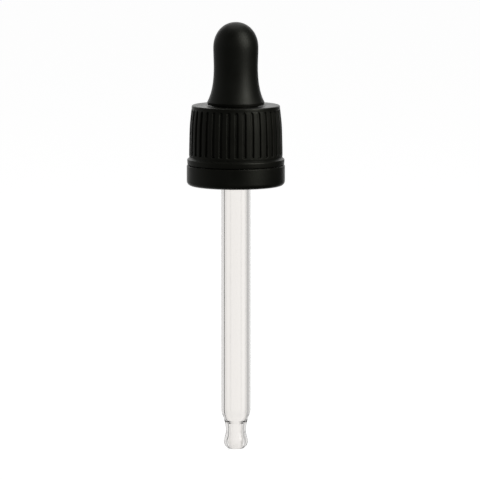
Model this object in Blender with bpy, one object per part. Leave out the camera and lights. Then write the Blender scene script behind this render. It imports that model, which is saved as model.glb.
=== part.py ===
"""Medicine dropper for a small bottle with an 18 mm neck: a rubber bulb, a ribbed screw cap, its
break-off ring and a glass pipette. +Z points up the axis to the bulb. The origin is on the axis, in the
plane where the lip of the bottle meets the flange of the bulb."""

import math

import bmesh
import bpy
from mathutils import Matrix, Vector

MM = 0.001
TURN = 2 * math.pi
WELD = 0.001 * MM
SEAT_GAP = 0.1 * MM  # between pieces that touch when assembled

# Screw cap: the flat panel on top and the hole that holds the bulb
PANEL_TOP = 3.0 * MM
PANEL_THICKNESS = 1.5 * MM
PANEL_HOLE_R = 5.5 * MM
PANEL_EDGE_ROUND = 0.3 * MM

# Screw cap: the skirt, with a smooth band on top, the ribs, then a ledge above its flared foot
BAND_R = 10.5 * MM
BAND_FOOT_R = 10.51 * MM
BAND_HEIGHT = 0.85 * MM
RIB_TOP_R = 10.54 * MM
RIB_SHOULDER_R = 10.64 * MM
RIB_SWELL_R = 10.95 * MM
RIB_MIDDLE_R = 11.07 * MM
RIB_FOOT_R = 11.12 * MM
RIB_SHOULDER_Z = 1.3 * MM
RIB_SWELL_Z = -1.9 * MM
RIB_MIDDLE_Z = -5.5 * MM
RIB_FOOT_Z = -8.6 * MM
LEDGE_R = 11.06 * MM
LEDGE_Z = -9.4 * MM
FOOT_R = 11.58 * MM
FOOT_TOP_Z = -9.7 * MM
FOOT_ROUND = 0.3 * MM
FOOT_BASE_R = 11.52 * MM
CAP_BASE = -11.1 * MM
CAP_STEPS = 72

# Screw cap: the grooves between the ribs
GROOVE_COUNT = 36
GROOVE_PHASE = math.radians(1.0)
GROOVE_TOP_Z = 2.15 * MM
GROOVE_BOTTOM_Z = -8.7 * MM
GROOVE_TOP_DEPTH = 0.4 * MM
GROOVE_BOTTOM_DEPTH = 0.5 * MM
GROOVE_FLOOR_WIDTH = 0.4 * MM
GROOVE_REACH = 1.2 * MM  # how far past its floor the cutter goes
GROOVE_REACH_WIDTH = 1.6 * MM
GROOVE_DRAFT = 0.25 * MM
GROOVE_ARCH = 0.5 * MM
GROOVE_ARCH_STEPS = 4

# Screw cap: the inside, with the thread that takes the neck of the bottle
WALL_R = 9.15 * MM
SKIRT_MOUTH_R = 9.8 * MM
SKIRT_MOUTH_TOP = -9.9 * MM
SKIRT_MOUTH_CONE = 0.6 * MM
THREAD_CREST_R = 8.25 * MM
THREAD_PITCH = 3.0 * MM
THREAD_TOP_Z = -2.9 * MM
THREAD_TURNS = 1.5
THREAD_ROOT_WIDTH = 1.5 * MM
THREAD_CREST_WIDTH = 0.6 * MM
THREAD_BITE = 0.25 * MM
THREAD_RUN_OUT = 0.12  # turns over which the ridge rises from the wall at each end
THREAD_STEPS_PER_TURN = 36

# Break-off ring
RING_GAP = 0.2 * MM
RING_HEIGHT = 4.85 * MM
RING_R = 11.68 * MM
RING_TOP_ROUND = 0.2 * MM
RING_FOOT_ROUND = 1.15 * MM
RING_BORE_R = 10.45 * MM
RING_BEAD_R = 9.75 * MM
RING_BEAD_Z = -14.0 * MM
RING_BEAD_SLOPE = 0.7 * MM
RING_BEAD_FLAT = 0.2 * MM
RING_STEPS = 72
BRIDGE_EVERY = 6  # one bridge nib on every sixth face round the ring
BRIDGE_INNER_R = 10.7 * MM
BRIDGE_OUTER_R = 11.2 * MM
BRIDGE_HEIGHT = 0.1 * MM

# Rubber bulb, outside. Its heights are measured from the panel of the cap
BULB_HEIGHT = 19.8 * MM
BULB_R = 5.36 * MM
BULB_SHOULDER_H = 13.75 * MM
BULB_DOME_POWER = 2.07
BULB_WAIST_R = 5.25 * MM
BULB_WAIST_H = 9.0 * MM
BULB_FLARE_BROAD = 1.2 * MM
BULB_FLARE_SHARP = 0.8 * MM
BULB_FOOT_EDGE_H = 0.75 * MM
BULB_FOOT_ROUND = 0.12 * MM
BULB_FOOT_R = 6.7 * MM  # where the slope under the edge meets the panel
BULB_STEPS = 48
BULB_DOME_STEPS = 9
BULB_STRAIGHT_STEPS = 3
BULB_FLARE_STEPS = 9
CHAMBER_DOME_STEPS = 6

# Rubber bulb, inside and under the panel
BULB_NECK_R = PANEL_HOLE_R - SEAT_GAP
FLANGE_R = 8.0 * MM
FLANGE_ROUND = 0.2 * MM
PIPETTE_SOCKET_R = 3.6 * MM
PIPETTE_SOCKET_TOP = 9.8 * MM
CHAMBER_R = 4.1 * MM
CHAMBER_CONE = 0.6 * MM
BULB_WALL_TOP = 1.2 * MM

# Glass pipette
PIPETTE_R = 3.5 * MM
PIPETTE_BORE_R = 2.7 * MM
PIPETTE_TOP = 9.7 * MM
PIPETTE_TIP = -79.3 * MM
PIPETTE_EDGE_ROUND = 0.3 * MM
PIPETTE_STEPS = 40
TIP_CURVE_STEPS = 2

# Drawn end of the pipette: knots of (radius, height above the tip), down the outside and back up the bore
TIP_OUTSIDE = (
    (PIPETTE_R, 9.4 * MM),  # where the tube starts to narrow
    (3.36 * MM, 8.5 * MM),
    (2.95 * MM, 7.5 * MM),
    (2.63 * MM, 6.2 * MM),
    (2.36 * MM, 4.4 * MM),  # neck
    (2.55 * MM, 3.2 * MM),
    (2.9 * MM, 1.9 * MM),  # widest part of the ball
    (2.6 * MM, 0.8 * MM),
    (2.0 * MM, 0.2 * MM),
    (1.7 * MM, 0.0),  # edge of the end face
)
TIP_BORE = (
    (1.2 * MM, 0.0),  # outlet
    (1.3 * MM, 0.3 * MM),
    (1.65 * MM, 0.9 * MM),
    (1.9 * MM, 1.9 * MM),  # hollow of the ball
    (1.6 * MM, 3.5 * MM),  # neck
    (1.6 * MM, 5.7 * MM),
    (1.85 * MM, 6.4 * MM),  # shoulder above the neck
    (2.2 * MM, 7.0 * MM),
    (2.5 * MM, 8.1 * MM),
    (PIPETTE_BORE_R, 9.4 * MM),
)


def clear_scene():
    for obj in list(bpy.data.objects):
        bpy.data.objects.remove(obj, do_unlink=True)


def material(name, colour, roughness, transmission=0.0, ior=1.5):
    """A Principled material."""
    mat = bpy.data.materials.new(name)
    mat.use_nodes = True
    shader = mat.node_tree.nodes["Principled BSDF"]
    shader.inputs["Base Color"].default_value = (*colour, 1.0)
    shader.inputs["Roughness"].default_value = roughness
    shader.inputs["Metallic"].default_value = 0.0
    shader.inputs["Transmission Weight"].default_value = transmission
    shader.inputs["IOR"].default_value = ior
    return mat


def arc(centre, radius, start, end, steps):
    """Points of (radius, height) on a round corner about a centre, from start to end in degrees."""
    points = []
    for i in range(steps + 1):
        angle = math.radians(start + (end - start) * i / steps)
        points.append((centre[0] + radius * math.cos(angle), centre[1] + radius * math.sin(angle)))
    return points


def smooth_through(knots, steps):
    """Points on a Catmull-Rom curve through the knots, with the given steps in each span."""
    padded = [knots[0], *knots, knots[-1]]
    points = []
    for span in zip(padded, padded[1:], padded[2:], padded[3:]):
        for i in range(steps):
            t = i / steps
            weights = (
                (-t + 2 * t**2 - t**3) / 2,
                (2 - 5 * t**2 + 3 * t**3) / 2,
                (t + 4 * t**2 - 3 * t**3) / 2,
                (t**3 - t**2) / 2,
            )
            points.append(tuple(sum(w * knot[k] for w, knot in zip(weights, span)) for k in range(2)))
    return [*points, knots[-1]]


def new_object(name, bm, mat):
    """An object from a bmesh, smooth apart from its sharp edges."""
    bmesh.ops.recalc_face_normals(bm, faces=bm.faces)
    mesh = bpy.data.meshes.new(name)
    bm.to_mesh(mesh)
    bm.free()
    mesh.shade_smooth()
    mesh.set_sharp_from_angle(angle=math.radians(35))
    obj = bpy.data.objects.new(name, mesh)
    if mat:
        mesh.materials.append(mat)
    bpy.context.scene.collection.objects.link(obj)
    return obj


def turned(outline, steps, closed):
    """A bmesh turned on the Z axis from points of (radius, height)."""
    bm = bmesh.new()
    verts = [bm.verts.new((r, 0, z)) for r, z in outline]
    pairs = list(zip(verts, verts[1:]))
    if closed:
        pairs.append((verts[-1], verts[0]))
    edges = [bm.edges.new(pair) for pair in pairs]
    bmesh.ops.spin(
        bm, geom=verts + edges, cent=(0, 0, 0), axis=(0, 0, 1), angle=TURN, steps=steps, use_merge=True
    )
    bmesh.ops.remove_doubles(bm, verts=bm.verts, dist=WELD)
    return bm


def hide_tool(obj):
    """Marks an object that only shapes another one."""
    obj.hide_render = True
    obj.display_type = "WIRE"


def combine(obj, tool, operation):
    """Adds a Boolean modifier."""
    modifier = obj.modifiers.new(tool.name, "BOOLEAN")
    modifier.operation = operation
    modifier.solver = "EXACT"
    modifier.object = tool


def cap_outline():
    """Section of the cap without its grooves and thread: from the hole out, down the skirt, up inside."""
    band_foot = PANEL_TOP - BAND_HEIGHT
    panel_bottom = PANEL_TOP - PANEL_THICKNESS
    edge = (BAND_R - PANEL_EDGE_ROUND, PANEL_TOP - PANEL_EDGE_ROUND)
    foot = (FOOT_R - FOOT_ROUND, FOOT_TOP_Z - FOOT_ROUND)
    return [
        (PANEL_HOLE_R, PANEL_TOP),
        *arc(edge, PANEL_EDGE_ROUND, 90, 0, 3),
        (BAND_FOOT_R, band_foot),
        (RIB_TOP_R, band_foot - (RIB_TOP_R - BAND_FOOT_R)),
        (RIB_SHOULDER_R, RIB_SHOULDER_Z),
        (RIB_SWELL_R, RIB_SWELL_Z),
        (RIB_MIDDLE_R, RIB_MIDDLE_Z),
        (RIB_FOOT_R, RIB_FOOT_Z),
        (LEDGE_R, LEDGE_Z),
        *arc(foot, FOOT_ROUND, 80, 0, 3),
        (FOOT_BASE_R, CAP_BASE),
        (SKIRT_MOUTH_R, CAP_BASE),
        (SKIRT_MOUTH_R, SKIRT_MOUTH_TOP),
        (WALL_R, SKIRT_MOUTH_TOP + SKIRT_MOUTH_CONE),
        (WALL_R, panel_bottom),
        (PANEL_HOLE_R, panel_bottom),
    ]


def groove_face(width, top, bottom):
    """A groove's outline across its width, as (across, height): straight sides under a pointed arch."""
    half = width / 2
    side = [(half, bottom)]
    for i in range(GROOVE_ARCH_STEPS + 1):
        t = i / GROOVE_ARCH_STEPS
        side.append((half * (1 - t * t), top - GROOVE_ARCH * (1 - t)))
    left = [(-across, height) for across, height in reversed(side[:-1])]
    return side + left


def groove_cutter():
    """All grooves as one tool: each is a bar that widens outwards and follows the slope of the ribs."""
    bm = bmesh.new()
    inner_face = groove_face(GROOVE_FLOOR_WIDTH, GROOVE_TOP_Z, GROOVE_BOTTOM_Z)
    outer_top = GROOVE_TOP_Z + GROOVE_DRAFT
    outer_bottom = GROOVE_BOTTOM_Z - GROOVE_DRAFT
    outer_face = groove_face(GROOVE_REACH_WIDTH, outer_top, outer_bottom)
    floor_top = RIB_TOP_R - GROOVE_TOP_DEPTH
    floor_bottom = RIB_FOOT_R - GROOVE_BOTTOM_DEPTH
    for i in range(GROOVE_COUNT):
        turn = Matrix.Rotation(GROOVE_PHASE + TURN * i / GROOVE_COUNT, 4, "Z")
        rings = []
        for face, depth in ((inner_face, 0.0), (outer_face, GROOVE_REACH)):
            ring = []
            for across, height in face:
                share = (GROOVE_TOP_Z - height) / (GROOVE_TOP_Z - GROOVE_BOTTOM_Z)
                r = floor_top + (floor_bottom - floor_top) * share + depth
                ring.append(bm.verts.new(turn @ Vector((r, across, height))))
            bm.faces.new(ring)
            rings.append(ring)
        inner, outer = rings
        for a, b in zip(range(len(inner)), [*range(1, len(inner)), 0]):
            bm.faces.new((inner[a], inner[b], outer[b], outer[a]))
    cutter = new_object("groove_cutter", bm, None)
    hide_tool(cutter)
    return cutter


def thread_ridge():
    """The thread as a right-hand helical ridge that runs out into the wall at both ends."""
    bm = bmesh.new()
    steps = round(THREAD_TURNS * THREAD_STEPS_PER_TURN)
    root_r = WALL_R + THREAD_BITE
    sections = []
    for i in range(steps + 1):
        turns = THREAD_TURNS * i / steps
        rise = min(1.0, turns / THREAD_RUN_OUT, (THREAD_TURNS - turns) / THREAD_RUN_OUT)
        crest_r = WALL_R + THREAD_BITE / 2 + (THREAD_CREST_R - WALL_R - THREAD_BITE / 2) * rise
        angle = -TURN * turns
        z = THREAD_TOP_Z - THREAD_PITCH * turns
        corners = (
            (root_r, THREAD_ROOT_WIDTH / 2),
            (crest_r, THREAD_CREST_WIDTH / 2),
            (crest_r, -THREAD_CREST_WIDTH / 2),
            (root_r, -THREAD_ROOT_WIDTH / 2),
        )
        turn = Matrix.Rotation(angle, 4, "Z")
        sections.append([bm.verts.new(turn @ Vector((r, 0, z + dz))) for r, dz in corners])
    for above, below in zip(sections, sections[1:]):
        for a, b in ((0, 1), (1, 2), (2, 3), (3, 0)):
            bm.faces.new((above[a], above[b], below[b], below[a]))
    bm.faces.new(sections[0])
    bm.faces.new(sections[-1])
    ridge = new_object("thread_ridge", bm, None)
    hide_tool(ridge)
    return ridge


def make_screw_cap(mat):
    cap = new_object("screw_cap", turned(cap_outline(), CAP_STEPS, closed=True), mat)
    combine(cap, groove_cutter(), "DIFFERENCE")
    combine(cap, thread_ridge(), "UNION")
    return cap


def make_tamper_ring(mat):
    """The ring: inside it a bead that catches under the bottle's collar, on top the nibs of its bridges."""
    top = CAP_BASE - RING_GAP
    base = top - RING_HEIGHT
    top_edge = (RING_R - RING_TOP_ROUND, top - RING_TOP_ROUND)
    foot = (RING_R - RING_FOOT_ROUND, base + RING_FOOT_ROUND)
    outline = [
        (RING_BORE_R, top),
        (BRIDGE_INNER_R, top),
        (BRIDGE_OUTER_R, top),
        *arc(top_edge, RING_TOP_ROUND, 90, 0, 2),
        *arc(foot, RING_FOOT_ROUND, 0, -90, 5),
        (RING_BORE_R, base),
        (RING_BORE_R, RING_BEAD_Z - RING_BEAD_FLAT - RING_BEAD_SLOPE),
        (RING_BEAD_R, RING_BEAD_Z - RING_BEAD_FLAT),
        (RING_BEAD_R, RING_BEAD_Z + RING_BEAD_FLAT),
        (RING_BORE_R, RING_BEAD_Z + RING_BEAD_FLAT + RING_BEAD_SLOPE),
    ]
    bm = turned(outline, RING_STEPS, closed=True)
    middle_r = (BRIDGE_INNER_R + BRIDGE_OUTER_R) / 2
    nib_faces = []
    for face in bm.faces:
        centre = face.calc_center_median()
        on_top = abs(centre.z - top) < WELD and abs(centre.xy.length - middle_r) < 0.1 * MM
        place = math.atan2(centre.y, centre.x) % TURN / TURN * RING_STEPS
        if on_top and int(place) % BRIDGE_EVERY == 0:
            nib_faces.append(face)
    nibs = bmesh.ops.extrude_discrete_faces(bm, faces=nib_faces)["faces"]
    nib_verts = {vert for face in nibs for vert in face.verts}
    bmesh.ops.translate(bm, verts=list(nib_verts), vec=(0, 0, BRIDGE_HEIGHT))
    return new_object("tamper_ring", bm, mat)


def bulb_side(height):
    """Outer radius of the bulb at a height above the panel, below its dome."""
    if height > BULB_WAIST_H:
        t = (height - BULB_WAIST_H) / (BULB_SHOULDER_H - BULB_WAIST_H)
        return BULB_WAIST_R + (BULB_R - BULB_WAIST_R) * t * t * (3 - 2 * t)
    u = 1 - height / BULB_WAIST_H
    return BULB_WAIST_R + BULB_FLARE_BROAD * u**2 + BULB_FLARE_SHARP * u**4


def dome(radius, shoulder, top, steps):
    """Points from a dome's apex down to its shoulder, on a curve a little fuller than an ellipse."""
    points = []
    for i in range(steps + 1):
        angle = math.radians(90 - 90 * i / steps)
        r = radius * math.cos(angle) ** (2 / BULB_DOME_POWER)
        z = shoulder + (top - shoulder) * math.sin(angle) ** (2 / BULB_DOME_POWER)
        points.append((0.0 if i == 0 else r, z))
    return points


def make_rubber_bulb(mat):
    """The bulb with its groove in the panel's hole, its flange under the panel and its hollow."""
    shoulder = PANEL_TOP + BULB_SHOULDER_H
    foot_bottom = PANEL_TOP + SEAT_GAP
    foot_centre = (bulb_side(BULB_FOOT_EDGE_H) - BULB_FOOT_ROUND, PANEL_TOP + BULB_FOOT_EDGE_H)
    flange_top = PANEL_TOP - PANEL_THICKNESS - SEAT_GAP
    flange_corner = (FLANGE_R - FLANGE_ROUND, flange_top - FLANGE_ROUND)
    straight_step = (BULB_SHOULDER_H - BULB_WAIST_H) / BULB_STRAIGHT_STEPS
    flare_step = (BULB_WAIST_H - BULB_FOOT_EDGE_H) / BULB_FLARE_STEPS
    side_heights = [BULB_SHOULDER_H - straight_step * i for i in range(1, BULB_STRAIGHT_STEPS)]
    side_heights += [BULB_WAIST_H - flare_step * i for i in range(BULB_FLARE_STEPS)]
    chamber_top = PANEL_TOP + BULB_HEIGHT - BULB_WALL_TOP
    outline = [
        *dome(BULB_R, shoulder, PANEL_TOP + BULB_HEIGHT, BULB_DOME_STEPS),
        *[(bulb_side(h), PANEL_TOP + h) for h in side_heights],
        *arc(foot_centre, BULB_FOOT_ROUND, 25, -12, 2),
        (BULB_FOOT_R, foot_bottom),
        (BULB_NECK_R, foot_bottom),
        (BULB_NECK_R, flange_top),
        *arc(flange_corner, FLANGE_ROUND, 90, 0, 2),
        (FLANGE_R, 0.0),
        (PIPETTE_SOCKET_R, 0.0),
        (PIPETTE_SOCKET_R, PIPETTE_SOCKET_TOP),
        (CHAMBER_R, PIPETTE_SOCKET_TOP + CHAMBER_CONE),
        *reversed(dome(CHAMBER_R, shoulder, chamber_top, CHAMBER_DOME_STEPS)),
    ]
    return new_object("rubber_bulb", turned(outline, BULB_STEPS, closed=False), mat)


def make_glass_pipette(mat):
    """The open tube, drawn in to a neck above a hollow ball tip."""
    outside = smooth_through(TIP_OUTSIDE, TIP_CURVE_STEPS)
    bore = smooth_through(TIP_BORE, TIP_CURVE_STEPS)
    round_z = PIPETTE_TOP - PIPETTE_EDGE_ROUND
    inner_edge = (PIPETTE_BORE_R + PIPETTE_EDGE_ROUND, round_z)
    outer_edge = (PIPETTE_R - PIPETTE_EDGE_ROUND, round_z)
    outline = [
        *arc(inner_edge, PIPETTE_EDGE_ROUND, 180, 90, 2),
        *arc(outer_edge, PIPETTE_EDGE_ROUND, 90, 0, 2),
        *[(r, PIPETTE_TIP + height) for r, height in outside + bore],
    ]
    return new_object("glass_pipette", turned(outline, PIPETTE_STEPS, closed=True), mat)


def main():
    clear_scene()
    cap_plastic = material("cap_plastic", (0.012, 0.012, 0.011), 0.42)
    rubber = material("bulb_rubber", (0.014, 0.014, 0.013), 0.62)
    glass = material("clear_glass", (0.97, 0.96, 0.95), 0.02, transmission=1.0, ior=1.47)
    make_screw_cap(cap_plastic)
    make_tamper_ring(cap_plastic)
    make_rubber_bulb(rubber)
    make_glass_pipette(glass)


main()
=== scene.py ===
"""The looks of a medicine dropper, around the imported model: rubber bulb, ribbed screw cap, break-off ring
and glass pipette. Metres, +Z up the axis, the origin where the bottle's lip meets the bulb's flange."""

import math

import bmesh
import bpy
import numpy as np
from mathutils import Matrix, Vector


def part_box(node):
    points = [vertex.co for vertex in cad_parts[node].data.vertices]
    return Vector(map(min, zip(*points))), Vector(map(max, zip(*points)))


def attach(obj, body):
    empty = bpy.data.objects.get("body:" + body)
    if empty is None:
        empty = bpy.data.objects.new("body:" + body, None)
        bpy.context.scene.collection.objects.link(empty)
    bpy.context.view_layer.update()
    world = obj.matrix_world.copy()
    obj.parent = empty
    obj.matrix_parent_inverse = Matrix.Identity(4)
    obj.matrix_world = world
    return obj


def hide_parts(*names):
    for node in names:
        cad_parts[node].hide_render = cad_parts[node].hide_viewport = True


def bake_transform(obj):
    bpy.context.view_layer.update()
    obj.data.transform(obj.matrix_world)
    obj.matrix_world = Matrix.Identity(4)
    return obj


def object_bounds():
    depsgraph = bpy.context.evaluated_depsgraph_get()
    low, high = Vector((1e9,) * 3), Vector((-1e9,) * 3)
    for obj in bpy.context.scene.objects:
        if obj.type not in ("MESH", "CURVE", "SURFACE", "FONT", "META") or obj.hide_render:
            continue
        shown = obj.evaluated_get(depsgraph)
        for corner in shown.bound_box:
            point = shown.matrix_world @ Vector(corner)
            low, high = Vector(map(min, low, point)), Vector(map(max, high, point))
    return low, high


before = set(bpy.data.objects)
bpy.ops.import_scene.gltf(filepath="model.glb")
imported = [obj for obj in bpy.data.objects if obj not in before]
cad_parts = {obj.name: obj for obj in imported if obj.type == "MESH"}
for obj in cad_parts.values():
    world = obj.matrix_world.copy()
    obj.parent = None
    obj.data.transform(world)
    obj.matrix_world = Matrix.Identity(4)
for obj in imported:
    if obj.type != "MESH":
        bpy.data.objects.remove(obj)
cad_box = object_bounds()

MM = 0.001
TURN = 2 * math.pi

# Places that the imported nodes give
cap_low, cap_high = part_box("screw_cap")
ring_low, ring_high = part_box("tamper_ring")
bulb_low, bulb_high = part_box("rubber_bulb")
glass_low, glass_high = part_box("glass_pipette")

# Screw cap, outside
PANEL_TOP = cap_high.z
PANEL_THICKNESS = 1.5 * MM
PANEL_HOLE_R = 5.5 * MM
PANEL_EDGE_ROUND = 0.3 * MM
BAND_R = 10.5 * MM
BAND_FOOT_R = 10.51 * MM
BAND_FOOT_Z = PANEL_TOP - 0.85 * MM
RIB_TOP_Z = BAND_FOOT_Z - 0.03 * MM
RIB_TOP_R = 10.54 * MM
RIB_FOOT_R = 11.12 * MM
LEDGE_R = 11.06 * MM
LEDGE_Z = -9.4 * MM
RIB_KNOTS = (
    (RIB_TOP_R, RIB_TOP_Z),
    (10.64 * MM, 1.3 * MM),
    (10.95 * MM, -1.9 * MM),
    (11.07 * MM, -5.5 * MM),
    (RIB_FOOT_R, -8.6 * MM),
    (LEDGE_R, LEDGE_Z),
)
FOOT_R = cap_high.x
FOOT_TOP_Z = -9.7 * MM
FOOT_ROUND = 0.3 * MM
FOOT_BASE_R = FOOT_R - 0.06 * MM
CAP_BASE = cap_low.z
SHARP_ROUND = 0.1 * MM  # the small round on every other edge
PANEL_RINGS = (7.36 * MM, 8.33 * MM)  # radii of the mesh's rings on the flat of the panel

# Screw cap, grooves
GROOVE_COUNT = 36
GROOVE_PHASE = math.radians(1.0)
GROOVE_TOP_Z = 2.2 * MM
GROOVE_BOTTOM_Z = -8.8 * MM
GROOVE_TOP_DEPTH = 0.4 * MM
GROOVE_BOTTOM_DEPTH = 0.5 * MM
GROOVE_FLOOR = 0.2 * MM  # half widths
GROOVE_MOUTH = 0.48 * MM
GROOVE_ARCH = 0.6 * MM
GROOVE_FADE = 0.3 * MM  # height over which a groove's foot runs out
# Degrees from a groove's middle to each column of the mesh, closest on the groove's wall
GROOVE_SAMPLES = (0, 0.55, 1.0, 1.2, 1.4, 1.6, 1.8, 2.0, 2.25, 2.6, 3.3, 4.1)
COARSE = 4  # fine columns to each coarse one
RIB_CURVE_STEPS = 12
RIB_STOPS = (  # heights down the ribs, each with the rows of mesh from there to the next
    (RIB_TOP_Z, 20),
    (GROOVE_TOP_Z - GROOVE_ARCH - 0.1 * MM, 8),
    (-1.9 * MM, 8),
    (GROOVE_BOTTOM_Z + 1.2 * GROOVE_FADE, 9),
    (GROOVE_BOTTOM_Z, 5),
    (LEDGE_Z, 0),
)

# Screw cap, inside
WALL_R = 9.15 * MM
SKIRT_MOUTH_R = 9.8 * MM
SKIRT_MOUTH_TOP = -9.9 * MM
SKIRT_MOUTH_CONE = 0.6 * MM
THREAD_CREST_R = 8.25 * MM
THREAD_PITCH = 3.0 * MM
THREAD_TOP_Z = -2.9 * MM
THREAD_TURNS = 1.5
THREAD_ROOT = 0.75 * MM  # half widths
THREAD_CREST = 0.3 * MM
THREAD_BITE = 0.15 * MM
THREAD_RUN_OUT = 0.12  # turns
THREAD_LEAST_RISE = 0.08  # share of the full height
THREAD_STEPS = 180

# Break-off ring
RING_R = ring_high.x
RING_TOP = CAP_BASE - 0.2 * MM
RING_BASE = ring_low.z
RING_BORE_R = 10.45 * MM
RING_BEAD_R = 9.75 * MM
RING_BEAD_Z = -14.0 * MM
RING_BEAD_FLAT = 0.2 * MM
RING_BEAD_SLOPE = 0.7 * MM
RING_TOP_ROUND = 0.2 * MM
RING_FOOT_ROUND = 1.15 * MM
RING_COLUMNS = 288
NIB_INNER_R = 10.7 * MM
NIB_OUTER_R = 11.2 * MM
NIB_HEIGHT = ring_high.z - RING_TOP
NIB_EVERY = 24  # columns
NIB_WIDTH = 4  # columns
NIB_TAPER = 0.8

# Rubber bulb. Its heights are measured from the cap's panel
BULB_R = 5.36 * MM
BULB_SHOULDER_H = 13.75 * MM
BULB_DOME_POWER = 2.07
BULB_WAIST_R = 5.25 * MM
BULB_WAIST_H = 9.0 * MM
BULB_FLARE_BROAD = 1.2 * MM
BULB_FLARE_SHARP = 0.8 * MM
BULB_FOOT_EDGE_H = 0.75 * MM
BULB_FOOT_ROUND = 0.12 * MM
BULB_FOOT_R = 6.7 * MM
BULB_NECK_R = 5.4 * MM
BULB_ROWS = 44  # from the shoulder to the foot
DOME_ROWS = 30
CHAMBER_ROWS = 20
BULB_COLUMNS = 144
SEAT_GAP = 0.1 * MM
FLANGE_R = bulb_high.x
PIPETTE_SOCKET_R = 3.6 * MM
PIPETTE_SOCKET_TOP = 9.8 * MM
CHAMBER_R = 4.1 * MM
CHAMBER_CONE = 0.6 * MM
BULB_WALL_TOP = 1.2 * MM

# Glass pipette, with knots of (radius, height above the tip)
PIPETTE_R = glass_high.x
PIPETTE_BORE_R = 2.7 * MM
PIPETTE_TOP = glass_high.z
PIPETTE_TIP = glass_low.z
PIPETTE_EDGE_ROUND = 0.3 * MM
GLASS_CURVE_STEPS = 8
GLASS_COLUMNS = 192
TIP_OUTSIDE = (
    (PIPETTE_R, 9.4 * MM),
    (3.36 * MM, 8.5 * MM),
    (2.95 * MM, 7.5 * MM),
    (2.63 * MM, 6.2 * MM),
    (2.36 * MM, 4.4 * MM),
    (2.55 * MM, 3.2 * MM),
    (2.9 * MM, 1.9 * MM),
    (2.6 * MM, 0.8 * MM),
    (2.0 * MM, 0.2 * MM),
    (1.7 * MM, 0.0),
)
TIP_BORE = (
    (1.2 * MM, 0.0),
    (1.3 * MM, 0.3 * MM),
    (1.65 * MM, 0.9 * MM),
    (1.9 * MM, 1.9 * MM),
    (1.6 * MM, 3.5 * MM),
    (1.6 * MM, 5.7 * MM),
    (1.85 * MM, 6.4 * MM),
    (2.2 * MM, 7.0 * MM),
    (2.5 * MM, 8.1 * MM),
    (PIPETTE_BORE_R, 9.4 * MM),
)

# Smoothing, and wear where edges are convex
CREASE_ANGLE = math.radians(40)
WEAR_STARTS = 0.06  # how far the surface falls away, as a slope
WEAR_FULL = 0.36

# Black polypropylene. Sizes are of the features of each noise, depths of the bumps
PLASTIC_DARK = (0.0056, 0.0059, 0.0042)
PLASTIC_LIGHT = (0.0088, 0.0092, 0.0068)
PLASTIC_RUBBED = (0.032, 0.031, 0.029)
PLASTIC_TINT = (0.98, 1.0, 0.87, 1.0)
PLASTIC_IOR = 1.49
PLASTIC_ROUGHNESS = (0.36, 0.44)
PLASTIC_CLOUDS = 3.2 * MM
PLASTIC_GRAIN, PLASTIC_GRAIN_DEPTH = 0.16 * MM, 0.0035 * MM
PLASTIC_FLOW, PLASTIC_FLOW_DEPTH = 0.7 * MM, 0.004 * MM
PLASTIC_RUB_PATCHES = 0.6 * MM
RUB_COLOUR = 0.6
RUB_POLISH = -0.07
RIB_ROUGHER = 0.12  # how much duller the ribs are than the smooth bands

# Black rubber
RUBBER_DARK = (0.006, 0.0063, 0.0046)
RUBBER_LIGHT = (0.009, 0.0094, 0.0072)
RUBBER_BLOOM = (0.013, 0.0134, 0.011)
RUBBER_WORN = (0.026, 0.026, 0.025)
RUBBER_TINT = (0.98, 1.0, 0.9, 1.0)
RUBBER_IOR = 1.5
RUBBER_ROUGHNESS = (0.42, 0.48)
RUBBER_CLOUDS = 4.0 * MM
RUBBER_GRAIN, RUBBER_GRAIN_DEPTH = 0.2 * MM, 0.006 * MM
RUBBER_SKIN, RUBBER_SKIN_DEPTH = 0.9 * MM, 0.006 * MM
RUBBER_BLOOM_PATCHES = 1.6 * MM
RUBBER_WEAR = 0.4

# Clear glass
GLASS_COLOUR = (0.997, 0.981, 0.964, 1.0)
GLASS_IOR = 1.473
GLASS_STREAKS, GLASS_STREAK_DEPTH = 0.9 * MM, 0.0012 * MM
GLASS_STREAK_STRETCH = 60
GLASS_SMUDGES = 5.0 * MM
GLASS_SMUDGE_ROUGHNESS = 0.04

# Camera
CAMERA_ELEVATION = math.radians(6.5)
CAMERA_DISTANCE = 1.5
FRAME_HEIGHT = 114.3 * MM  # what the frame takes in at the object
AIM_RIGHT = 0.99 * MM
AIM_UP = -1.0 * MM

# Stage: brightness of the sweep, by degrees from straight behind where it differs round the object
REFLECTED = (
    (-180, 0.04), (-130, 0.06), (-100, 0.13), (-75, 0.17), (-50, 0.2), (-34, 0.34), (-24, 1.0),
    (20, 1.0), (33, 0.2), (48, 0.02), (90, 0.02), (150, 0.02), (180, 0.04),
)
SKY_REFLECTED = 1.35
SKY_REFLECTED_TOP = 0.15 * SKY_REFLECTED
SKY_DIMS = (0.35, 0.85)  # sines of the elevations between which reflections of the sky dim
BOUNCED = 0.1
FLOOR_GLOW = 0.95
FLOOR_GREY = (0.3, 0.3, 0.3, 1.0)
FLOOR_R = 4.2
FLOOR_GAP = 0.2 * MM
WHITE = (1.0, 1.0, 1.0)
SEEN_THROUGH = (  # white but for dark flags, which draw the edges of the bore, and soft shade beside them
    (-134, 0.93), (-129, 0.02), (-122, 0.02), (-117, 0.93),
    (-63, 0.93), (-59, 0.02), (-51, 0.02), (-46, 0.86),
    (-36, 0.82), (-27, 0.7), (-21, 0.76), (-16, 0.83), (-11, 0.87), (-7, 0.89), (0, 0.9),
    (7, 0.94), (11, 0.93), (17, 0.84), (24, 0.62), (38, 0.56), (60, 0.5), (66, 0.93),
    (117, 0.93), (122, 0.02), (129, 0.02), (134, 0.93),
)
CEILING = 0.2  # brightness overhead of what the glass shows
CEILING_DIMS = (0.45, 0.75)

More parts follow.
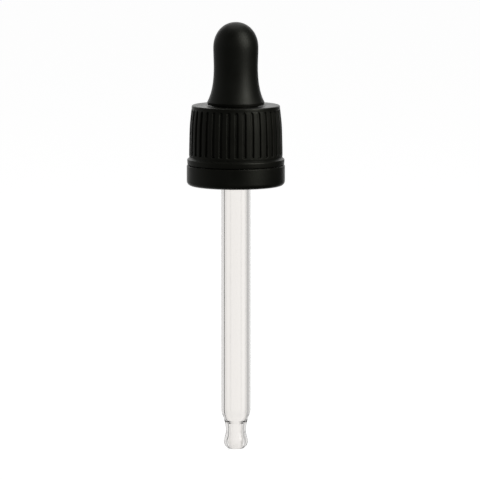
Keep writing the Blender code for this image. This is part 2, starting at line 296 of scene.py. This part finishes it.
# Lights, aimed at the cap: name, azimuth to the right of the camera and elevation in degrees, distance,
# width and height, radiance, colour
SOFTBOXES = (
    ("key_softbox", 52, 30, 0.6, (0.3, 0.62), 2.6, (1.0, 0.99, 0.97)),
    ("top_softbox", 180, 70, 0.6, (0.45, 0.45), 0.58, WHITE),
)


# Outlines: lists of (radius, height)

def arc(centre, radius, start, end, steps):
    """Points on a round corner about a centre, from start to end in degrees."""
    points = []
    for i in range(steps + 1):
        angle = math.radians(start + (end - start) * i / steps)
        points.append((centre[0] + radius * math.cos(angle), centre[1] + radius * math.sin(angle)))
    return points


def straight(start, end, steps):
    """Points along a line, without its last one."""
    return [tuple(a + (b - a) * i / steps for a, b in zip(start, end)) for i in range(steps)]


def smooth_through(knots, steps):
    """Points on a Catmull-Rom curve through the knots, with the given steps in each span."""
    padded = [knots[0], *knots, knots[-1]]
    points = []
    for span in zip(padded, padded[1:], padded[2:], padded[3:]):
        for i in range(steps):
            t = i / steps
            weights = (
                (-t + 2 * t**2 - t**3) / 2,
                (2 - 5 * t**2 + 3 * t**3) / 2,
                (t + 4 * t**2 - 3 * t**3) / 2,
                (t**3 - t**2) / 2,
            )
            points.append(tuple(sum(w * knot[k] for w, knot in zip(weights, span)) for k in range(2)))
    return [*points, knots[-1]]


def filleted(corners, steps=5):
    """Points along straight runs through corners of (radius, height, round), each corner rounded."""
    points = []
    for before, corner, after in zip([corners[-1], *corners], corners, [*corners[1:], corners[0]]):
        at = Vector(corner[:2])
        if corner[2] == 0:
            points.append(tuple(at))
            continue
        back = (Vector(before[:2]) - at).normalized()
        ahead = (Vector(after[:2]) - at).normalized()
        half = back.angle(ahead) / 2
        centre = at + (back + ahead).normalized() * corner[2] / math.sin(half)
        start = at + back * corner[2] / math.tan(half) - centre
        end = at + ahead * corner[2] / math.tan(half) - centre
        for i in range(steps + 1):
            points.append(tuple(centre + start.slerp(end, i / steps).normalized() * corner[2]))
    return points


# Meshes

def ring_of(radii, height, angles):
    """One ring of vertices. Radii is one value or a value for each angle."""
    radii = np.broadcast_to(np.asarray(radii, float), angles.shape)
    return np.stack([radii * np.cos(angles), radii * np.sin(angles), np.full(angles.shape, height)], 1)


def even_angles(columns):
    return np.arange(columns) * TURN / columns


def turned_rings(outline, angles):
    """A ring for each point of an outline. A point on the axis becomes one vertex."""
    return [ring_of(r, z, angles) if r > 0 else np.array([[0.0, 0.0, z]]) for r, z in outline]


def bridge(first, first_count, second, second_count):
    """Faces between two rings, given the index of each one's first vertex and how many it has."""
    if second_count > first_count:
        return [face[::-1] for face in bridge(second, second_count, first, first_count)]
    many = first_count // second_count
    faces = []
    for j in range(second_count if second_count > 1 else first_count):
        if second_count == 1:
            faces.append((first + j, first + (j + 1) % first_count, second))
            continue
        run = [first + (j * many + k) % first_count for k in range(many + 1)]
        faces.append((*run, second + (j + 1) % second_count, second + j))
    return faces


def mesh_from_rings(bm, rings, closed):
    """Adds the surface through a row of rings to a bmesh."""
    starts = np.cumsum([0, *[len(ring) for ring in rings]])
    verts = [bm.verts.new(co) for ring in rings for co in ring]
    pairs = list(zip(range(len(rings)), range(1, len(rings))))
    if closed:
        pairs.append((len(rings) - 1, 0))
    for a, b in pairs:
        for face in bridge(starts[a], len(rings[a]), starts[b], len(rings[b])):
            bm.faces.new([verts[i] for i in face])


def edge_wear(mesh):
    """Stores how convex the surface is at each vertex, from 0 to 1, for wear along edges."""
    count = len(mesh.vertices)
    co = np.zeros(count * 3)
    normal = np.zeros(count * 3)
    ends = np.zeros(len(mesh.edges) * 2, np.int32)
    mesh.vertices.foreach_get("co", co)
    mesh.vertices.foreach_get("normal", normal)
    mesh.edges.foreach_get("vertices", ends)
    co, normal, ends = co.reshape(-1, 3), normal.reshape(-1, 3), ends.reshape(-1, 2)
    rise = np.zeros(count)
    for a, b in ((0, 1), (1, 0)):
        step = co[ends[:, b]] - co[ends[:, a]]
        slope = (step * normal[ends[:, a]]).sum(1) / np.maximum(np.linalg.norm(step, axis=1), 1e-9)
        np.minimum.at(rise, ends[:, a], slope)
    wear = np.clip((-rise - WEAR_STARTS) / (WEAR_FULL - WEAR_STARTS), 0, 1)
    mesh.attributes.new("wear", "FLOAT", "POINT").data.foreach_set("value", wear.astype(np.float32))


def finish_piece(name, bm, mat, node_name, body=None):
    """The object for a bmesh, standing for a CAD node."""
    bmesh.ops.recalc_face_normals(bm, faces=bm.faces)
    mesh = bpy.data.meshes.new(name)
    bm.to_mesh(mesh)
    bm.free()
    mesh.shade_smooth()
    mesh.set_sharp_from_angle(angle=CREASE_ANGLE)
    mesh.materials.append(mat)
    edge_wear(mesh)
    obj = bpy.data.objects.new(name, mesh)
    bpy.context.scene.collection.objects.link(obj)
    weighted = obj.modifiers.new("even_shading", "WEIGHTED_NORMAL")
    weighted.keep_sharp = True
    if body:
        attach(obj, body)
    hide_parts(node_name)
    return obj


# Screw cap

def groove_angles():
    """Column angles round the cap, closest on the grooves' walls, and each one's way from its groove."""
    pitch = TURN / GROOVE_COUNT
    side = np.radians(GROOVE_SAMPLES)
    one = np.concatenate([side, [pitch / 2], pitch - side[:0:-1]])
    angles = (np.arange(GROOVE_COUNT)[:, None] * pitch + one).ravel() + GROOVE_PHASE
    away = np.tile(np.minimum(one, pitch - one), GROOVE_COUNT)
    return angles, away


def groove_depth(radius, height, away):
    """How deep the grooves are at a height, for each column."""
    if not GROOVE_BOTTOM_Z < height < GROOVE_TOP_Z:
        return np.zeros(away.shape)
    down = (GROOVE_TOP_Z - height) / (GROOVE_TOP_Z - GROOVE_BOTTOM_Z)
    depth = GROOVE_TOP_DEPTH + (GROOVE_BOTTOM_DEPTH - GROOVE_TOP_DEPTH) * down
    rise = max(0.0, 1 - (GROOVE_TOP_Z - height) / GROOVE_ARCH)
    mouth = GROOVE_MOUTH * (1 - rise**2)
    across = np.clip((mouth - radius * away) / (GROOVE_MOUTH - GROOVE_FLOOR), 0, 1)
    foot = min(1.0, (height - GROOVE_BOTTOM_Z) / GROOVE_FADE)
    return depth * across**2 * (3 - 2 * across) * foot**2 * (3 - 2 * foot)


def rib_rows():
    """The ribbed side from the band down to the ledge, with close rows where the grooves begin and end."""
    curve = smooth_through(RIB_KNOTS, RIB_CURVE_STEPS)
    curve_r = np.array([r for r, z in curve])[::-1]
    curve_z = np.array([z for r, z in curve])[::-1]
    heights = np.concatenate([
        np.linspace(start, end, rows, endpoint=False)
        for (start, rows), (end, _) in zip(RIB_STOPS, RIB_STOPS[1:])
    ])
    return list(zip(np.interp(heights, curve_z, curve_r), heights))


def thread_ridge(bm):
    """The thread: a rounded helical ridge that runs out into the wall at both ends."""
    rings = []
    for i in range(1, THREAD_STEPS):
        turns = THREAD_TURNS * i / THREAD_STEPS
        rise = min(1.0, turns / THREAD_RUN_OUT, (THREAD_TURNS - turns) / THREAD_RUN_OUT)
        root_r = WALL_R + THREAD_BITE
        crest_r = root_r + (THREAD_CREST_R - root_r) * max(rise, THREAD_LEAST_RISE)
        corners = [
            (root_r, THREAD_ROOT, 0),
            (crest_r, THREAD_CREST, SHARP_ROUND * rise),
            (crest_r, -THREAD_CREST, SHARP_ROUND * rise),
            (root_r, -THREAD_ROOT, 0),
        ]
        angle = -TURN * turns
        drop = THREAD_TOP_Z - THREAD_PITCH * turns
        section = filleted(corners, 3)
        rings.append([(r * math.cos(angle), r * math.sin(angle), drop + dz) for r, dz in section])
    verts = [[bm.verts.new(co) for co in ring] for ring in rings]
    for above, below in zip(verts, verts[1:]):
        for a, b in zip(range(len(above)), [*range(1, len(above)), 0]):
            bm.faces.new((above[a], above[b], below[b], below[a]))
    bm.faces.new(verts[0])
    bm.faces.new(verts[-1])


def make_screw_cap(mat):
    angles, away = groove_angles()
    coarse = angles[::COARSE]
    panel_bottom = PANEL_TOP - PANEL_THICKNESS
    edge = (BAND_R - PANEL_EDGE_ROUND, PANEL_TOP - PANEL_EDGE_ROUND)
    band_top = (BAND_R, PANEL_TOP - 1.3 * PANEL_EDGE_ROUND)
    foot = (FOOT_R - FOOT_ROUND, FOOT_TOP_Z - FOOT_ROUND)
    ledge_end = arc(foot, FOOT_ROUND, 80, 80, 1)[0]
    base_corner = (FOOT_BASE_R - SHARP_ROUND, CAP_BASE + SHARP_ROUND)
    outside = [
        (BAND_R - 2 * PANEL_EDGE_ROUND, PANEL_TOP),
        *arc(edge, PANEL_EDGE_ROUND, 90, 0, 6),
        *straight(band_top, (BAND_FOOT_R, BAND_FOOT_Z + 0.04 * MM), 3),
        (BAND_FOOT_R, BAND_FOOT_Z),
        *rib_rows(),
        *straight((LEDGE_R, LEDGE_Z), ledge_end, 4),
        *arc(foot, FOOT_ROUND, 80, 0, 6),
        *straight((FOOT_R, foot[1] - 0.1 * MM), (FOOT_BASE_R, CAP_BASE + SHARP_ROUND), 3),
        *arc(base_corner, SHARP_ROUND, 0, -90, 4),
        (FOOT_BASE_R - 2.5 * SHARP_ROUND, CAP_BASE),
    ]
    inside = filleted([
        (SKIRT_MOUTH_R, CAP_BASE, SHARP_ROUND),
        (SKIRT_MOUTH_R, SKIRT_MOUTH_TOP, SHARP_ROUND),
        (WALL_R, SKIRT_MOUTH_TOP + SKIRT_MOUTH_CONE, SHARP_ROUND),
        (WALL_R, panel_bottom, 2 * SHARP_ROUND),
        (PANEL_HOLE_R, panel_bottom, SHARP_ROUND),
        (PANEL_HOLE_R, PANEL_TOP, SHARP_ROUND),
    ])
    panel = [(r, PANEL_TOP) for r in PANEL_RINGS]
    rings = [ring_of(r - groove_depth(r, z, away), z, angles) for r, z in outside]
    rings += turned_rings([(FOOT_BASE_R - 5 * SHARP_ROUND, CAP_BASE), *inside, *panel], coarse)
    bm = bmesh.new()
    mesh_from_rings(bm, rings, closed=True)
    thread_ridge(bm)
    return finish_piece("screw_cap_shell", bm, mat, "screw_cap", "cap")


# Break-off ring

def raise_nib(bm, faces):
    """Makes a patch of faces into a block that stands up from it, a little narrower at its top."""
    low = list(dict.fromkeys(vert for face in faces for vert in face.verts))
    centre = sum((vert.co for vert in low), Vector()) / len(low)
    lift = Vector((0, 0, NIB_HEIGHT))
    high = {vert: bm.verts.new(centre + (vert.co - centre) * NIB_TAPER + lift) for vert in low}
    for face in faces:
        bm.faces.new([high[vert] for vert in face.verts])
    border = [loop for face in faces for loop in face.loops if loop.link_loop_radial_next.face not in faces]
    sides = [(loop.vert, loop.link_loop_next.vert) for loop in border]
    for start, end in sides:
        bm.faces.new((start, end, high[end], high[start]))
    bmesh.ops.delete(bm, geom=faces, context="FACES")


def make_tamper_ring(mat):
    """The ring, with its bead inside and the stubs of its bridges on top."""
    bead_low = RING_BEAD_Z - RING_BEAD_FLAT
    bead_high = RING_BEAD_Z + RING_BEAD_FLAT
    outline = filleted([
        (RING_BORE_R, RING_TOP, SHARP_ROUND),
        (NIB_INNER_R, RING_TOP, 0),
        (NIB_OUTER_R, RING_TOP, 0),
        (RING_R, RING_TOP, RING_TOP_ROUND),
        (RING_R, RING_BASE, RING_FOOT_ROUND),
        (RING_BORE_R, RING_BASE, SHARP_ROUND / 2),
        (RING_BORE_R, bead_low - RING_BEAD_SLOPE, 2 * SHARP_ROUND),
        (RING_BEAD_R, bead_low, SHARP_ROUND),
        (RING_BEAD_R, bead_high, SHARP_ROUND),
        (RING_BORE_R, bead_high + RING_BEAD_SLOPE, 2 * SHARP_ROUND),
    ], 8)
    bm = bmesh.new()
    mesh_from_rings(bm, turned_rings(outline, even_angles(RING_COLUMNS)), closed=True)
    middle_r = (NIB_INNER_R + NIB_OUTER_R) / 2
    nibs = {}
    for face in bm.faces:
        centre = face.calc_center_median()
        if abs(centre.z - RING_TOP) < 1e-7 and abs(centre.xy.length - middle_r) < 0.1 * MM:
            column = int(math.atan2(centre.y, centre.x) % TURN / TURN * RING_COLUMNS)
            if column % NIB_EVERY < NIB_WIDTH:
                nibs.setdefault(column // NIB_EVERY, []).append(face)
    for faces in nibs.values():
        raise_nib(bm, faces)
    return finish_piece("tamper_ring_band", bm, mat, "tamper_ring", "ring")


# Rubber bulb

def bulb_side(height):
    """Outer radius of the bulb at a height above the panel, below its dome."""
    if height > BULB_WAIST_H:
        t = (height - BULB_WAIST_H) / (BULB_SHOULDER_H - BULB_WAIST_H)
        return BULB_WAIST_R + (BULB_R - BULB_WAIST_R) * t * t * (3 - 2 * t)
    u = 1 - height / BULB_WAIST_H
    return BULB_WAIST_R + BULB_FLARE_BROAD * u**2 + BULB_FLARE_SHARP * u**4


def dome(radius, shoulder, top, steps):
    """Points from a dome's apex down to its shoulder, on a curve a little fuller than an ellipse."""
    points = []
    for i in range(steps + 1):
        angle = math.radians(90 - 90 * i / steps)
        r = radius * math.cos(angle) ** (2 / BULB_DOME_POWER)
        z = shoulder + (top - shoulder) * math.sin(angle) ** (2 / BULB_DOME_POWER)
        points.append((0.0 if i == 0 else r, z))
    return points


def make_rubber_bulb(mat):
    shoulder = PANEL_TOP + BULB_SHOULDER_H
    foot_bottom = PANEL_TOP + SEAT_GAP
    foot_centre = (bulb_side(BULB_FOOT_EDGE_H) - BULB_FOOT_ROUND, PANEL_TOP + BULB_FOOT_EDGE_H)
    foot_round = arc(foot_centre, BULB_FOOT_ROUND, 25, -12, 6)
    flange_top = PANEL_TOP - PANEL_THICKNESS - SEAT_GAP
    heights = np.linspace(BULB_SHOULDER_H, BULB_FOOT_EDGE_H, BULB_ROWS, endpoint=False)[1:]
    under = filleted([
        (*foot_round[-1], 0),
        (BULB_FOOT_R, foot_bottom, SHARP_ROUND),
        (BULB_NECK_R, foot_bottom, SHARP_ROUND),
        (BULB_NECK_R, flange_top, SHARP_ROUND),
        (FLANGE_R, flange_top, 2 * SHARP_ROUND),
        (FLANGE_R, bulb_low.z, SHARP_ROUND),
        (PIPETTE_SOCKET_R, bulb_low.z, SHARP_ROUND),
        (PIPETTE_SOCKET_R, PIPETTE_SOCKET_TOP, SHARP_ROUND),
        (CHAMBER_R, PIPETTE_SOCKET_TOP + CHAMBER_CONE, SHARP_ROUND),
        (CHAMBER_R, shoulder - 0.3 * MM, 0),
    ])
    outline = [
        *dome(BULB_R, shoulder, bulb_high.z, DOME_ROWS),
        *[(bulb_side(h), PANEL_TOP + h) for h in heights],
        *foot_round[:-1],
        *under,
        *reversed(dome(CHAMBER_R, shoulder, bulb_high.z - BULB_WALL_TOP, CHAMBER_ROWS)),
    ]
    bm = bmesh.new()
    mesh_from_rings(bm, turned_rings(outline, even_angles(BULB_COLUMNS)), closed=False)
    bulb = finish_piece("rubber_bulb_body", bm, mat, "rubber_bulb")
    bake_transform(bulb)
    return bulb


# Glass pipette

def make_glass_pipette(mat):
    outside = smooth_through(TIP_OUTSIDE, GLASS_CURVE_STEPS)
    bore = smooth_through(TIP_BORE, GLASS_CURVE_STEPS)
    round_z = PIPETTE_TOP - PIPETTE_EDGE_ROUND
    outline = [
        *arc((PIPETTE_BORE_R + PIPETTE_EDGE_ROUND, round_z), PIPETTE_EDGE_ROUND, 180, 90, 5),
        *arc((PIPETTE_R - PIPETTE_EDGE_ROUND, round_z), PIPETTE_EDGE_ROUND, 90, 0, 5),
        *straight((PIPETTE_R, round_z - 0.1 * MM), (PIPETTE_R, PIPETTE_TIP + outside[0][1]), 12),
        *[(r, PIPETTE_TIP + height) for r, height in outside + bore],
        *straight((PIPETTE_BORE_R, PIPETTE_TIP + bore[-1][1]), (PIPETTE_BORE_R, round_z), 12)[1:],
    ]
    bm = bmesh.new()
    mesh_from_rings(bm, turned_rings(outline, even_angles(GLASS_COLUMNS)), closed=True)
    return finish_piece("glass_pipette_tube", bm, mat, "glass_pipette", "pipette")


# Materials

def new_material(name):
    mat = bpy.data.materials.new(name)
    mat.use_nodes = True
    tree = mat.node_tree
    return mat, tree, tree.nodes["Principled BSDF"]


def add_node(tree, kind, inputs=(), **settings):
    """A node with its settings. Inputs are (socket, value or output) pairs."""
    made = tree.nodes.new(kind)
    for key, value in settings.items():
        setattr(made, key, value)
    for key, value in inputs:
        if isinstance(value, bpy.types.NodeSocket):
            tree.links.new(value, made.inputs[key])
        else:
            made.inputs[key].default_value = value
    return made


def noise(tree, coords, size, detail=3.0, rough=0.5, stretch=(1, 1, 1)):
    """Noise with features of about a size in metres, from 0 to 1. Stretch makes them longer along an axis."""
    squeeze = [1 / s for s in stretch]
    scaled = add_node(tree, "ShaderNodeVectorMath", [(0, coords), (1, squeeze)], operation="MULTIPLY")
    made = add_node(
        tree, "ShaderNodeTexNoise",
        [("Vector", scaled.outputs[0]), ("Scale", 1 / size), ("Detail", detail), ("Roughness", rough)],
    )
    return made.outputs["Fac"]


def remap(tree, value, low, high, to_low, to_high):
    made = add_node(
        tree, "ShaderNodeMapRange",
        [("Value", value), ("From Min", low), ("From Max", high), ("To Min", to_low), ("To Max", to_high)],
    )
    return made.outputs["Result"]


def math_node(tree, operation, first, second=0.0, third=0.0):
    made = add_node(tree, "ShaderNodeMath", [(0, first), (1, second), (2, third)], operation=operation)
    return made.outputs[0]


def blend_colours(tree, share, first, second):
    made = add_node(tree, "ShaderNodeMix", data_type="RGBA")
    for socket, value in ((made.inputs[0], share), (made.inputs[6], first), (made.inputs[7], second)):
        if isinstance(value, bpy.types.NodeSocket):
            tree.links.new(value, socket)
        else:
            socket.default_value = (*value, 1.0) if isinstance(value, tuple) else value
    return made.outputs[2]


def bumped(tree, shader, layers):
    """Links a chain of bumps to the shader. Layers are (height output, depth in metres)."""
    normal = None
    for height, depth in layers:
        inputs = [("Height", height), ("Distance", depth), ("Strength", 1.0)]
        if normal:
            inputs.append(("Normal", normal))
        normal = add_node(tree, "ShaderNodeBump", inputs).outputs["Normal"]
    tree.links.new(normal, shader.inputs["Normal"])


def black_plastic():
    """Moulded polypropylene: a satin grain, faint cloudiness, duller ribs and edges rubbed smoother."""
    mat, tree, shader = new_material("black_polypropylene")
    coords = add_node(tree, "ShaderNodeTexCoord").outputs["Object"]
    clouds = noise(tree, coords, PLASTIC_CLOUDS, 4)
    grain = noise(tree, coords, PLASTIC_GRAIN, 2)
    flow = noise(tree, coords, PLASTIC_FLOW, 3, stretch=(1, 1, 5))
    cloudy = remap(tree, clouds, 0.3, 0.7, 0, 1)
    body = blend_colours(tree, cloudy, PLASTIC_DARK, PLASTIC_LIGHT)
    edge = add_node(tree, "ShaderNodeAttribute", attribute_name="wear").outputs["Fac"]
    patches = remap(tree, noise(tree, coords, PLASTIC_RUB_PATCHES, 4), 0.4, 0.65, 0.15, 1.0)
    rubbed = math_node(tree, "MULTIPLY", edge, patches)
    colour = blend_colours(tree, math_node(tree, "MULTIPLY", rubbed, RUB_COLOUR), body, PLASTIC_RUBBED)
    tree.links.new(colour, shader.inputs["Base Color"])
    height = add_node(tree, "ShaderNodeSeparateXYZ", [("Vector", coords)]).outputs["Z"]
    above_ledge = remap(tree, height, LEDGE_Z, LEDGE_Z + GROOVE_FADE, 0, 1)
    below_band = remap(tree, height, RIB_TOP_Z, RIB_TOP_Z - GROOVE_FADE, 0, 1)
    ribbed = math_node(tree, "MULTIPLY", above_ledge, below_band)
    rough = remap(tree, clouds, 0.3, 0.7, *PLASTIC_ROUGHNESS)
    rough = math_node(tree, "MULTIPLY_ADD", rubbed, RUB_POLISH, rough)
    rough = math_node(tree, "MULTIPLY_ADD", ribbed, RIB_ROUGHER, rough)
    tree.links.new(rough, shader.inputs["Roughness"])
    shader.inputs["IOR"].default_value = PLASTIC_IOR
    shader.inputs["Specular Tint"].default_value = PLASTIC_TINT
    bumped(tree, shader, [(flow, PLASTIC_FLOW_DEPTH), (grain, PLASTIC_GRAIN_DEPTH)])
    return mat


def black_rubber():
    """Moulded rubber: matt, with a fine skin, faint mottling and a trace of bloom."""
    mat, tree, shader = new_material("black_rubber")
    coords = add_node(tree, "ShaderNodeTexCoord").outputs["Object"]
    clouds = noise(tree, coords, RUBBER_CLOUDS, 5)
    grain = noise(tree, coords, RUBBER_GRAIN, 3)
    skin = noise(tree, coords, RUBBER_SKIN, 2)
    cloudy = remap(tree, clouds, 0.3, 0.7, 0, 1)
    body = blend_colours(tree, cloudy, RUBBER_DARK, RUBBER_LIGHT)
    bloom = remap(tree, noise(tree, coords, RUBBER_BLOOM_PATCHES, 5, 0.6), 0.5, 0.75, 0, 0.5)
    bloomed = blend_colours(tree, bloom, body, RUBBER_BLOOM)
    edge = add_node(tree, "ShaderNodeAttribute", attribute_name="wear").outputs["Fac"]
    worn = math_node(tree, "MULTIPLY", edge, RUBBER_WEAR)
    tree.links.new(blend_colours(tree, worn, bloomed, RUBBER_WORN), shader.inputs["Base Color"])
    rough = remap(tree, clouds, 0.3, 0.7, *RUBBER_ROUGHNESS)
    tree.links.new(rough, shader.inputs["Roughness"])
    shader.inputs["IOR"].default_value = RUBBER_IOR
    shader.inputs["Specular Tint"].default_value = RUBBER_TINT
    bumped(tree, shader, [(skin, RUBBER_SKIN_DEPTH), (grain, RUBBER_GRAIN_DEPTH)])
    return mat


def clear_glass():
    """Drawn soda-lime glass: faint streaks along the draw, and a few smudges that take off the polish."""
    mat, tree, shader = new_material("clear_drawn_glass")
    coords = add_node(tree, "ShaderNodeTexCoord").outputs["Object"]
    streaks = noise(tree, coords, GLASS_STREAKS, 2, stretch=(1, 1, GLASS_STREAK_STRETCH))
    smudges = noise(tree, coords, GLASS_SMUDGES, 4)
    shader.inputs["Base Color"].default_value = GLASS_COLOUR
    shader.inputs["Transmission Weight"].default_value = 1.0
    shader.inputs["IOR"].default_value = GLASS_IOR
    rough = remap(tree, smudges, 0.5, 0.8, 0.0, GLASS_SMUDGE_ROUGHNESS)
    tree.links.new(rough, shader.inputs["Roughness"])
    bumped(tree, shader, [(streaks, GLASS_STREAK_DEPTH)])
    return mat


# Stage: a white sweep that is bright behind the object and dim in front of it

def azimuth_share(tree, vector):
    """Where a direction points round the axis, from 0 to 1: 0.5 is straight behind, 0.75 is to the right."""
    split = add_node(tree, "ShaderNodeSeparateXYZ", [("Vector", vector)])
    angle = math_node(tree, "ARCTAN2", split.outputs["X"], split.outputs["Y"])
    return math_node(tree, "MULTIPLY_ADD", angle, 1 / TURN, 0.5)


def ramp(tree, share, stops):
    """A grey ramp of (degrees from straight behind, brightness)."""
    made = add_node(tree, "ShaderNodeValToRGB", [("Fac", share)])
    elements = made.color_ramp.elements
    while len(elements) < len(stops):
        elements.new(0.5)
    for element, (degrees, value) in zip(elements, stops):
        element.position = 0.5 + degrees / 360
        element.color = (value, value, value, 1.0)
    return made.outputs["Color"]


def surroundings(tree, vector, floor):
    """Brightness of the sweep for each kind of ray."""
    share = azimuth_share(tree, vector)
    light = add_node(tree, "ShaderNodeLightPath")
    reflected = ramp(tree, share, REFLECTED)
    through = ramp(tree, share, SEEN_THROUGH)
    if not floor:
        height = add_node(tree, "ShaderNodeSeparateXYZ", [("Vector", vector)]).outputs["Z"]
        dimming = remap(tree, height, *SKY_DIMS, SKY_REFLECTED, SKY_REFLECTED_TOP)
        reflected = math_node(tree, "MULTIPLY", reflected, dimming)
        through = math_node(tree, "MULTIPLY", through, remap(tree, height, *CEILING_DIMS, 1.0, CEILING))
    plain = blend_colours(tree, light.outputs["Is Glossy Ray"], (BOUNCED,) * 3, reflected)
    bounced = blend_colours(tree, light.outputs["Is Transmission Ray"], plain, through)
    return blend_colours(tree, light.outputs["Is Camera Ray"], bounced, WHITE)


def make_stage():
    bm = bmesh.new()
    bmesh.ops.create_circle(bm, cap_ends=True, segments=96, radius=FLOOR_R)
    mesh = bpy.data.meshes.new("floor")
    bm.to_mesh(mesh)
    bm.free()
    floor = bpy.data.objects.new("floor", mesh)
    floor.location = (0, 0, PIPETTE_TIP - FLOOR_GAP)
    bpy.context.scene.collection.objects.link(floor)
    mat, tree, shader = new_material("white_sweep")
    tree.nodes.remove(shader)
    position = add_node(tree, "ShaderNodeNewGeometry").outputs["Position"]
    glow = add_node(tree, "ShaderNodeEmission", [("Color", surroundings(tree, position, True))])
    paper = add_node(tree, "ShaderNodeEmission", [("Strength", FLOOR_GLOW)])
    matt = add_node(tree, "ShaderNodeBsdfDiffuse", [("Color", FLOOR_GREY)])
    lit = add_node(tree, "ShaderNodeAddShader", [(0, paper.outputs[0]), (1, matt.outputs[0])])
    seen = add_node(tree, "ShaderNodeLightPath").outputs["Is Camera Ray"]
    both = add_node(tree, "ShaderNodeMixShader", [(0, seen), (1, glow.outputs[0]), (2, lit.outputs[0])])
    tree.links.new(both.outputs[0], tree.nodes["Material Output"].inputs["Surface"])
    mesh.materials.append(mat)


def make_world():
    world = bpy.data.worlds.new("studio")
    bpy.context.scene.world = world
    world.use_nodes = True
    tree = world.node_tree
    direction = add_node(tree, "ShaderNodeTexCoord").outputs["Generated"]
    tree.links.new(surroundings(tree, direction, False), tree.nodes["Background"].inputs["Color"])


def softbox(name, azimuth, elevation, distance, size, radiance, colour):
    """A rectangular light aimed at the cap, hidden from the camera and from what the glass lets through."""
    data = bpy.data.lights.new(name, "AREA")
    data.shape = "RECTANGLE"
    data.size, data.size_y = size
    data.energy = radiance * math.pi * size[0] * size[1]
    data.color = colour
    a, e = math.radians(azimuth), math.radians(elevation)
    away = Vector((math.sin(a) * math.cos(e), -math.cos(a) * math.cos(e), math.sin(e)))
    light = bpy.data.objects.new(name, data)
    light.location = away * distance
    light.rotation_euler = away.to_track_quat("Z", "Y").to_euler()
    light.visible_camera = False
    light.visible_transmission = False
    bpy.context.scene.collection.objects.link(light)


def make_camera():
    data = bpy.data.cameras.new("camera")
    data.lens = data.sensor_width * CAMERA_DISTANCE / FRAME_HEIGHT
    data.clip_start = 0.05
    data.clip_end = 20.0
    camera = bpy.data.objects.new("camera", data)
    back = Vector((0, -math.cos(CAMERA_ELEVATION), math.sin(CAMERA_ELEVATION)))
    middle = (cad_box[0] + cad_box[1]) / 2
    aim = Vector((AIM_RIGHT, 0, middle.z + AIM_UP))
    camera.location = aim + back * CAMERA_DISTANCE
    camera.rotation_euler = back.to_track_quat("Z", "Y").to_euler()
    bpy.context.scene.collection.objects.link(camera)
    bpy.context.scene.camera = camera


plastic = black_plastic()
make_screw_cap(plastic)
make_tamper_ring(plastic)
make_rubber_bulb(black_rubber())
make_glass_pipette(clear_glass())
make_stage()
make_world()
for box in SOFTBOXES:
    softbox(*box)
make_camera()
bpy.context.scene.view_settings.view_transform = "Standard"
